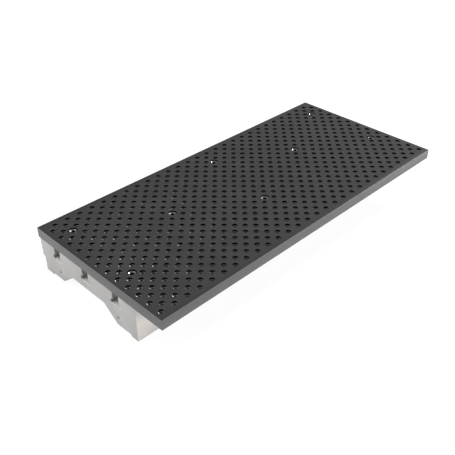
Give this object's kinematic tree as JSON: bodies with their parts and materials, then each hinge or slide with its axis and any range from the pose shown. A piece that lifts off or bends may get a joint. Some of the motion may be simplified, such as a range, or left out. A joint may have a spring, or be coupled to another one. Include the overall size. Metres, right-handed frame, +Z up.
{
  "type": "fixture plate",
  "caption": "Perforated rectangular fixture plate with a staggered grid of round holes, screwed down through counterbores into T-nuts in a T-slotted machine table.",
  "frame": {"origin": "middle of the plate in plan, at the plane of the table's two pads", "axes": "+X along the table and its T-slots, +Y across it to the back, +Z up out of the plate's top face"},
  "size_m": [0.7112, 0.3238, 0.0881],
  "materials": {
    "plate": "black hard anodised, satin",
    "table": "machined and ground cast iron",
    "screw": "black oxide alloy steel",
    "nut": "black oxide steel"
  },
  "bodies": {
    "table": {"machine_table": "table"},
    "plate": {"fixture_plate": "plate", "hold_down_screw_1": "screw", "hold_down_screw_2": "screw", "hold_down_screw_3": "screw", "hold_down_screw_4": "screw", "hold_down_screw_5": "screw", "hold_down_screw_6": "screw", "hold_down_screw_7": "screw", "hold_down_screw_8": "screw", "t_nut_1": "nut", "t_nut_2": "nut", "t_nut_3": "nut", "t_nut_4": "nut", "t_nut_5": "nut", "t_nut_6": "nut", "t_nut_7": "nut", "t_nut_8": "nut"}
  },
  "joints": [
    {"name": "plate_slide", "type": "slide", "parent": "table", "child": "plate", "axis": [1, 0, 0], "range_m": [-0.02, 0.02]}
  ]
}
